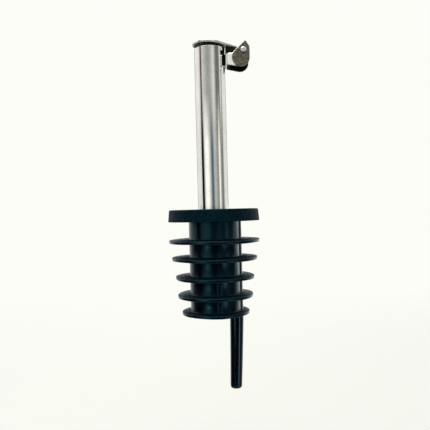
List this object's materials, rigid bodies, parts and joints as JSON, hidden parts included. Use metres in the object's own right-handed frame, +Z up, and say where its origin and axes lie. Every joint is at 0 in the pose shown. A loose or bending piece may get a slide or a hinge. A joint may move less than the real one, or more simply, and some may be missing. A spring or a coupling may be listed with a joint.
{
  "type": "liquor pour spout",
  "caption": "Steel pour spout with a hinged gravity flap, black seat collar, finned push-in stopper and a tapered air tube; fits the neck of a spirits bottle.",
  "frame": {"origin": "centre of the collar's underside, on the axis of the pour tube", "axes": "+Z up the pour tube to its mouth, +X towards the hinge bracket and the vent tube, +Y away from the side shown in the picture"},
  "size_m": [0.0252, 0.0252, 0.0955],
  "materials": {
    "tube_steel": "polished",
    "breather_steel": "drawn",
    "collar_plastic": "fine matte grain",
    "core_plastic": "moulded",
    "sleeve_plastic": "glossy, flexible",
    "vent_plastic": "glossy",
    "bracket_steel": "satin sheet",
    "pin_steel": "polished head",
    "flap_steel": "fine satin",
    "knuckle_steel": "dull"
  },
  "bodies": {
    "spout": {"pour_tube": "tube_steel", "breather_tube": "breather_steel", "stopper_collar": "collar_plastic", "core_plug": "core_plastic", "finned_sleeve": "sleeve_plastic", "vent_tube": "vent_plastic", "hinge_bracket": "bracket_steel", "hinge_pin": "pin_steel"},
    "flap": {"flap_plate": "flap_steel", "flap_knuckle": "knuckle_steel"}
  },
  "joints": [
    {"name": "flap_hinge", "type": "hinge", "parent": "spout", "child": "flap", "pos_m": [0.00925, 0, 0.0462], "axis": [0, 1, 0], "range_deg": [-3.9, 58]}
  ]
}
